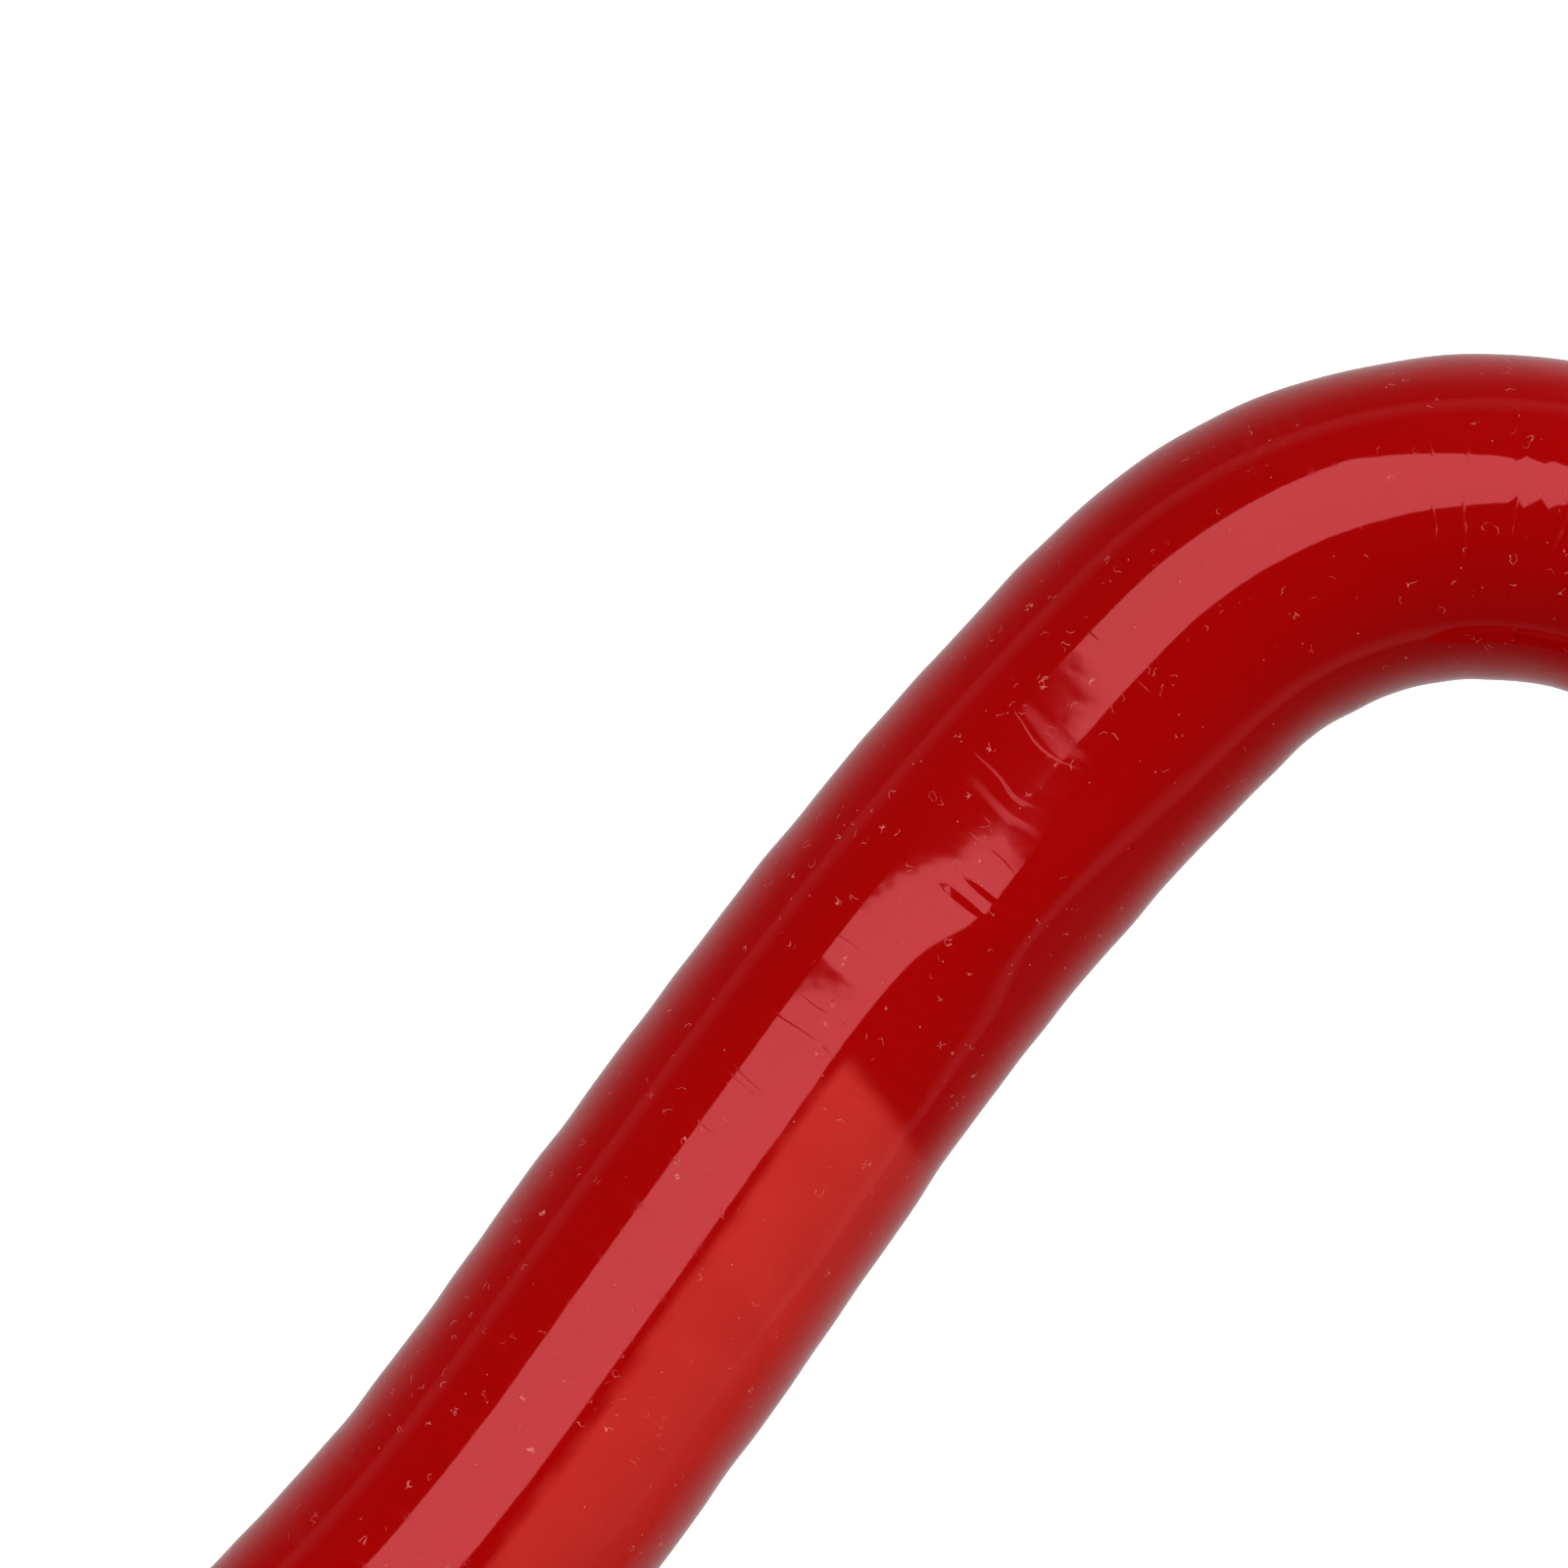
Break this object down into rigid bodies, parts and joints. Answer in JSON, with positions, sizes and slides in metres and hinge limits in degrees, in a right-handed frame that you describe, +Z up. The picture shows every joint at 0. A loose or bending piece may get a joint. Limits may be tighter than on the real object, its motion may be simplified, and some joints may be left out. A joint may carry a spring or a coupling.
{
  "type": "steering wheel lock",
  "caption": "Bar lock for a steering wheel: a tube with a grip, a notched shaft that slides in it, outward hooks in red plastic sleeves, and a keyed lock head.",
  "frame": {"origin": "on the lock head's flat underside, below the crossing of the locking bolt's axis and the bar's axis", "axes": "+X along the bar from the grip to the sliding hook, +Y the side the hooks stand on, +Z up out of the keyhole face"},
  "size_m": [0.5501, 0.1119, 0.0705],
  "materials": {
    "red_paint": "gloss powder coat",
    "red_sleeve": "glossy soft PVC",
    "red_cap": "glossy moulded PVC",
    "black_nylon": "fine texture",
    "grip_foam": "closed-cell foam",
    "black_shell": "fine spark texture",
    "cast_zinc": "as cast",
    "spring_steel": "drawn wire",
    "bronze": "turned",
    "black_screw": "black oxide",
    "brass": "machined",
    "bright_ring": "polished",
    "rod_steel": "red paint over welded rod",
    "weld": "red paint over weld ripples",
    "zinc_plate": "bright zinc plate",
    "white_nylon": "turned nylon",
    "hard_steel": "ground",
    "nickel_brass": "nickel plate",
    "key_nickel": "nickel plate, worn",
    "key_plastic": "satin"
  },
  "bodies": {
    "lock_body": {"body_tube": "red_paint", "tube_end_plug": "black_nylon", "grip": "grip_foam", "grip_end_cap": "black_nylon", "lock_block": "cast_zinc", "tube_pins": "spring_steel", "shaft_bush": "bronze", "head_shell_lower": "black_shell", "head_shell_upper": "black_shell", "shell_screws": "black_screw", "bolt_bore_plug": "black_screw", "bolt_spring": "spring_steel", "cylinder_shell": "brass", "cylinder_set_screw": "black_screw", "cylinder_ring": "bright_ring", "body_hook_rod": "rod_steel", "body_hook_sleeve": "red_sleeve", "body_hook_tip_cap": "red_cap", "body_hook_weld": "weld"},
    "shaft": {"shaft": "zinc_plate", "guide_ring": "white_nylon", "guide_screw": "spring_steel", "shaft_hook_rod": "rod_steel", "shaft_hook_sleeve": "red_sleeve", "shaft_hook_tip_cap": "red_cap", "shaft_hook_weld": "weld", "shaft_end_sleeve": "red_sleeve", "shaft_end_cap": "red_cap"},
    "bolt": {"lock_bolt": "hard_steel"},
    "plug": {"plug": "nickel_brass", "drive_pin": "hard_steel", "wafers": "brass", "wafer_springs": "spring_steel", "retaining_clip": "spring_steel"},
    "key": {"key_blade": "key_nickel", "key_bow": "key_plastic"}
  },
  "joints": [
    {"name": "shaft_slide", "type": "slide", "parent": "lock_body", "child": "shaft", "axis": [1, 0, 0], "range_m": [-0.12, 0.12]},
    {"name": "plug_turn", "type": "hinge", "parent": "lock_body", "child": "plug", "pos_m": [0, -0.022, 0.04], "axis": [0, 0, 1], "range_deg": [0, 90]},
    {"name": "bolt_slide", "type": "slide", "parent": "lock_body", "child": "bolt", "axis": [0, 1, 0], "range_m": [0, 0.003], "deforming": ["bolt_spring"]},
    {"name": "key_pull", "type": "slide", "parent": "plug", "child": "key", "axis": [0, 0, 1], "range_m": [0, 0.02]}
  ],
  "couplings": [
    {"joint": "bolt_slide", "follows": "plug_turn", "m_per_rad": 0.0019099}
  ]
}
